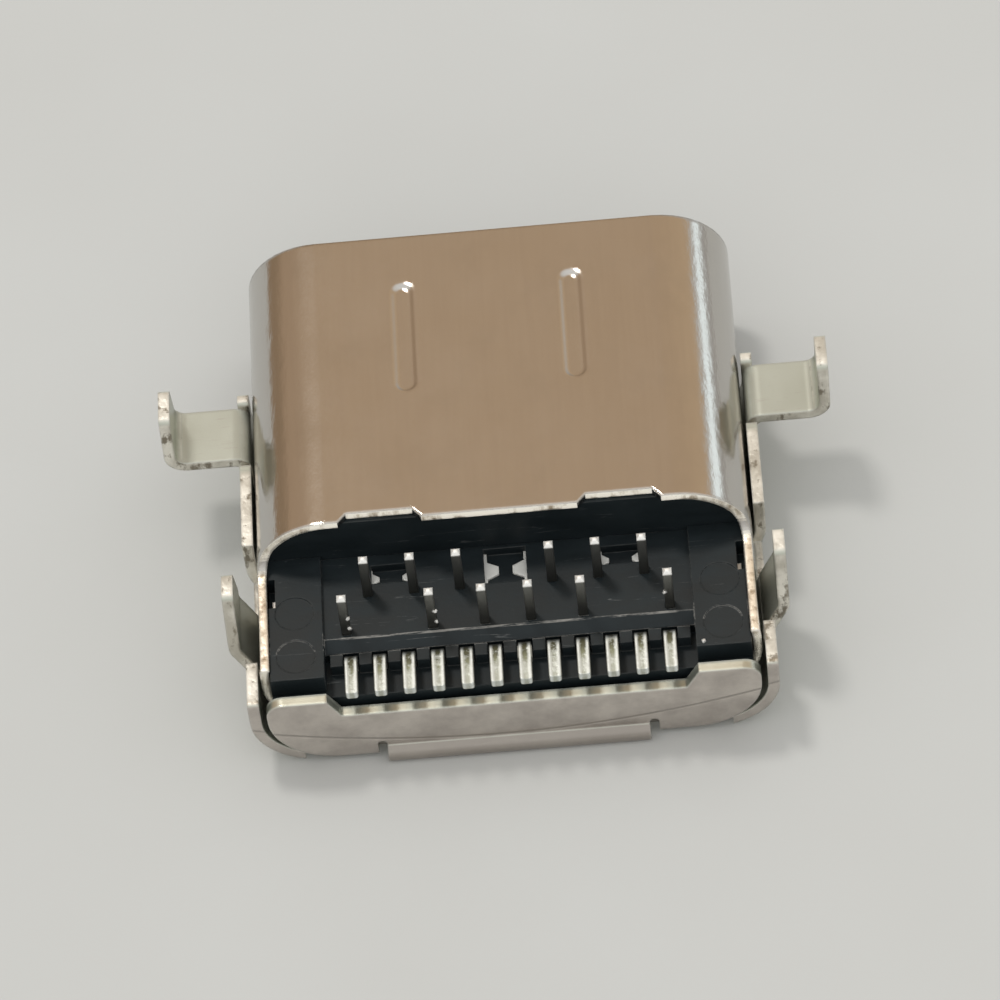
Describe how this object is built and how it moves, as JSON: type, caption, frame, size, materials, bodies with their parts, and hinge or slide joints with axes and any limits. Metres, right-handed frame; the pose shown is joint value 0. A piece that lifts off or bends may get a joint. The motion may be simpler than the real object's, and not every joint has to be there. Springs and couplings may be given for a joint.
{
  "type": "usb-c socket",
  "caption": "Mid-mount USB-C receptacle with a drawn steel shell, a folded bracket with board legs, surface-mount tails and through-board pins.",
  "frame": {"origin": "under the middle of the part, on the plane of the bracket's bottom plate", "axes": "+Y out of the mouth, +X across the mouth over the legs, +Z towards the circuit board that the tails and legs enter"},
  "size_m": [0.0118, 0.0092, 0.0031],
  "materials": {
    "shell_steel": "satin",
    "bracket_steel": "satin",
    "plate_steel": "satin",
    "black_plastic": "satin",
    "contact_metal": "satin"
  },
  "bodies": {
    "root": {"mating_shell": "shell_steel", "outer_bracket": "bracket_steel", "upper_insulator": "black_plastic", "lower_insulator": "black_plastic", "tongue": "black_plastic", "mid_plate": "plate_steel", "upper_ground_pad": "plate_steel", "lower_ground_pad": "plate_steel", "tail_contact_01": "contact_metal", "tail_contact_02": "contact_metal", "tail_contact_03": "contact_metal", "tail_contact_04": "contact_metal", "tail_contact_05": "contact_metal", "tail_contact_06": "contact_metal", "tail_contact_07": "contact_metal", "tail_contact_08": "contact_metal", "tail_contact_09": "contact_metal", "tail_contact_10": "contact_metal", "tail_contact_11": "contact_metal", "tail_contact_12": "contact_metal", "pin_contact_01": "contact_metal", "pin_contact_02": "contact_metal", "pin_contact_03": "contact_metal", "pin_contact_04": "contact_metal", "pin_contact_05": "contact_metal", "pin_contact_06": "contact_metal", "pin_contact_07": "contact_metal", "pin_contact_08": "contact_metal", "pin_contact_09": "contact_metal", "pin_contact_10": "contact_metal", "pin_contact_11": "contact_metal", "pin_contact_12": "contact_metal"}
  },
  "joints": []
}
